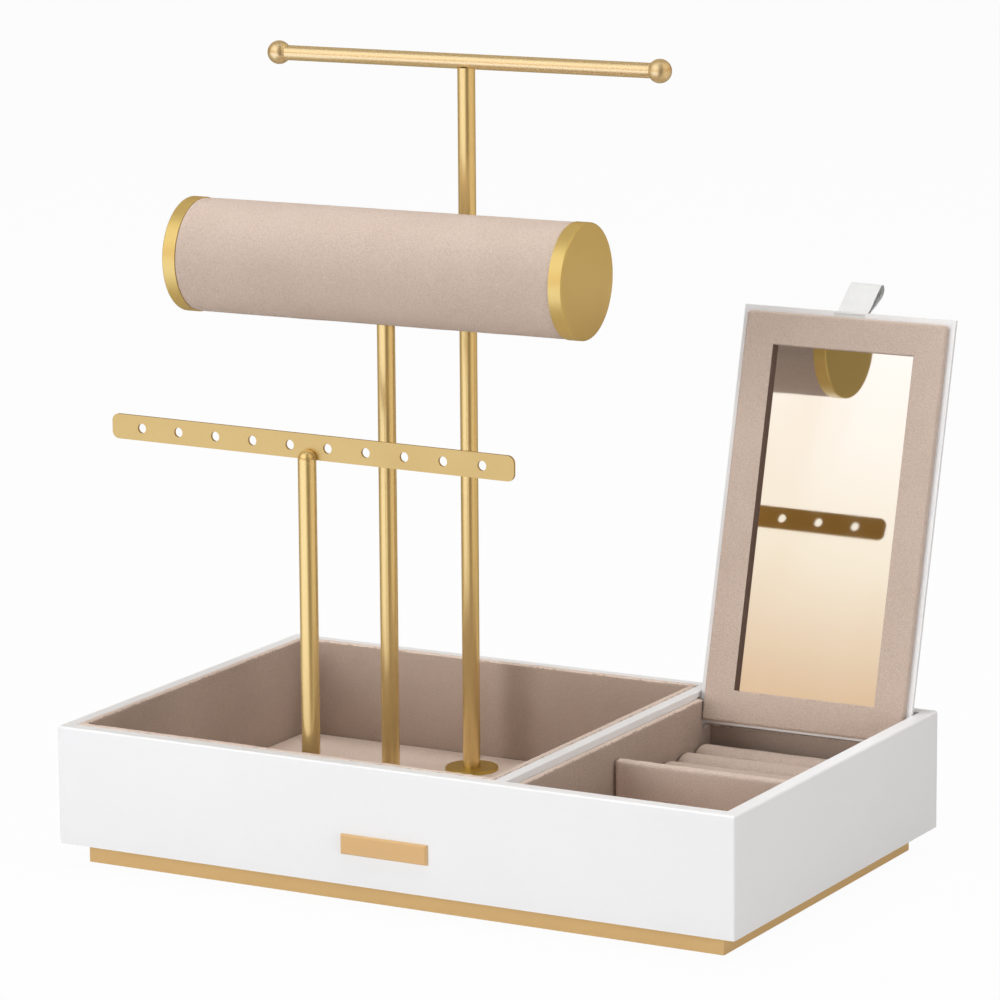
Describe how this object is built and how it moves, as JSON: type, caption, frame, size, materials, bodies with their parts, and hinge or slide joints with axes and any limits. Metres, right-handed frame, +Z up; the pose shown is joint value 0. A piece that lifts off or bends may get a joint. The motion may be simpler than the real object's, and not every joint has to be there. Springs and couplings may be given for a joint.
{
  "type": "jewelry stand",
  "caption": "Lined jewellery box on a plinth with T-shaped posts for earrings, bracelets and necklaces, and a hinged mirror lid over a ring well.",
  "frame": {"origin": "middle of the plinth's underside, on the surface that the stand rests on", "axes": "+Z up along the posts, -Y towards the front with the name plate, +X towards the lidded well"},
  "size_m": [0.34, 0.2594, 0.3578],
  "materials": {
    "white_lacquer": "white satin lacquer",
    "bare_board": "bare fibreboard",
    "gold_plinth": "satin gold foil",
    "gold_plate": "satin gold",
    "velvet": "short velvet",
    "velvet_roll": "velvet over foam",
    "mirror_glass": "silvered glass",
    "ribbon": "satin ribbon",
    "gold_metal": "brushed champagne gold",
    "cardboard": "wound board",
    "brass": "plain",
    "steel": "zinc plated"
  },
  "bodies": {
    "case": {"wall_front": "white_lacquer", "wall_back": "white_lacquer", "wall_left": "white_lacquer", "wall_right": "white_lacquer", "divider": "white_lacquer", "base_board": "bare_board", "bracelet_block": "bare_board", "plinth": "gold_plinth", "name_plate": "gold_plate", "tray_lining_front": "velvet", "tray_lining_back": "velvet", "tray_lining_left": "velvet", "tray_lining_right": "velvet", "tray_floor_pad": "velvet", "well_lining_front": "velvet", "well_lining_back": "velvet", "well_lining_left": "velvet", "well_lining_right": "velvet", "well_floor_pad": "velvet", "ring_partition": "velvet", "bracelet_wrap": "velvet", "ring_roll_1": "velvet_roll", "ring_roll_2": "velvet_roll", "ring_roll_3": "velvet_roll", "ring_roll_4": "velvet_roll", "ring_roll_5": "velvet_roll", "earring_post": "gold_metal", "earring_bar": "gold_metal", "earring_flange": "gold_metal", "bracelet_post": "gold_metal", "bracelet_flange": "gold_metal", "bracelet_cap_left": "gold_metal", "bracelet_cap_right": "gold_metal", "necklace_post": "gold_metal", "necklace_flange": "gold_metal", "necklace_bar": "gold_metal", "necklace_ball_left": "gold_metal", "necklace_ball_right": "gold_metal", "bracelet_core": "cardboard", "hinge_sleeve_left": "brass", "hinge_sleeve_right": "brass", "post_plugs": "steel", "post_screws": "steel", "post_washers": "steel"},
    "lid": {"lid_panel": "white_lacquer", "lid_frame": "velvet", "mirror": "mirror_glass", "hinge_pin_left": "steel", "hinge_pin_right": "steel", "ribbon_pull": "ribbon"}
  },
  "joints": [
    {"name": "lid_hinge", "type": "hinge", "parent": "case", "child": "lid", "pos_m": [0.11015, 0.0874, 0.0599], "axis": [1, 0, 0], "range_deg": [0, 104.4]}
  ]
}
